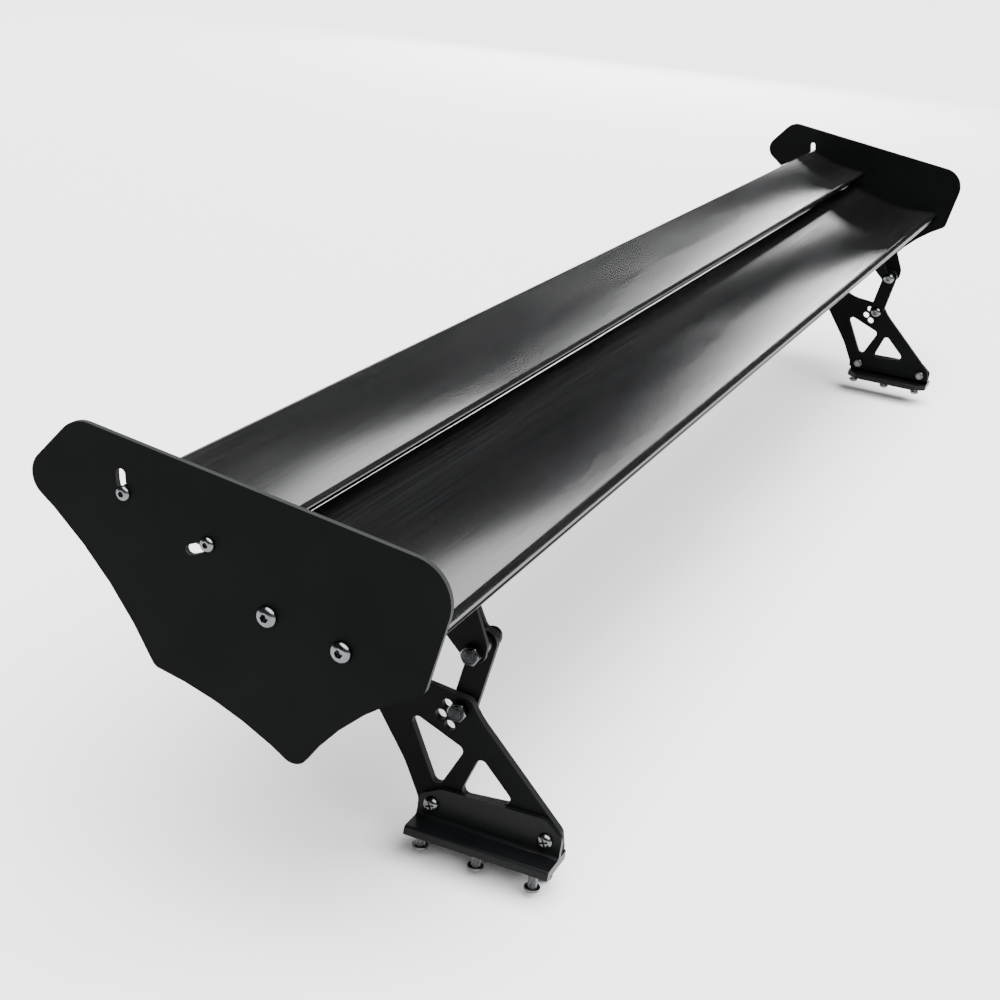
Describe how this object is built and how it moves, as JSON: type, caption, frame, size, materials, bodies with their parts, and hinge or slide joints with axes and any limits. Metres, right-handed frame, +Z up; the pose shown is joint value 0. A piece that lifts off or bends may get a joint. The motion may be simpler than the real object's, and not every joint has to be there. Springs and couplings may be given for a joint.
{
  "type": "racing rear wing",
  "caption": "Two-element aluminium rear wing with screwed end plates on triangulated legs with adjustable links and boot-lid feet; the rear element tilts in curved slots.",
  "frame": {"origin": "midway between the two feet, on the plane of their undersides, level with the middle lid screws", "axes": "+X to the front of the car, +Y to the car's left end plate, +Z up from the boot lid"},
  "size_m": [0.2452, 1.3566, 0.2545],
  "materials": {
    "wing_skin": "gloss black anodised extrusion with fine lines along the span",
    "black_sheet": "satin black sheet with bare cut edges",
    "black_foot": "satin black angle with a cool tint",
    "dark_screw": "polished dark steel screw",
    "zinc_steel": "bright zinc-plated steel"
  },
  "bodies": {
    "wing_frame": {"main_wing": "wing_skin", "end_plate_left": "black_sheet", "end_plate_right": "black_sheet", "wing_screws_left": "dark_screw", "wing_screws_right": "dark_screw", "saddle_left": "black_sheet", "saddle_right": "black_sheet", "saddle_screws_left": "dark_screw", "saddle_screws_right": "dark_screw", "slot_nuts_left": "zinc_steel", "slot_nuts_right": "zinc_steel", "arm_left": "black_sheet", "arm_right": "black_sheet", "arm_top_bolt_left": "dark_screw", "arm_top_bolt_right": "dark_screw", "arm_top_nut_left": "zinc_steel", "arm_top_nut_right": "zinc_steel", "arm_spacers_left": "zinc_steel", "arm_spacers_right": "zinc_steel", "arm_low_bolt_left": "dark_screw", "arm_low_bolt_right": "dark_screw", "arm_low_nut_left": "zinc_steel", "arm_low_nut_right": "zinc_steel", "pivot_bolt_left": "dark_screw", "pivot_bolt_right": "dark_screw", "pivot_nut_left": "zinc_steel", "pivot_nut_right": "zinc_steel", "pivot_spacers_left": "zinc_steel", "pivot_spacers_right": "zinc_steel", "leg_left": "black_sheet", "leg_right": "black_sheet", "foot_left": "black_foot", "foot_right": "black_foot", "foot_screws_left": "zinc_steel", "foot_screws_right": "zinc_steel", "foot_nuts_left": "zinc_steel", "foot_nuts_right": "zinc_steel", "lid_screws_left": "zinc_steel", "lid_screws_right": "zinc_steel"},
    "rear_element": {"rear_wing": "wing_skin", "slot_screws_left": "dark_screw", "slot_screws_right": "dark_screw"}
  },
  "joints": [
    {"name": "rear_wing_tilt", "type": "hinge", "parent": "wing_frame", "child": "rear_element", "pos_m": [-0.125, 0, 0.21897], "axis": [0, 1, 0], "range_deg": [0, 14]}
  ]
}
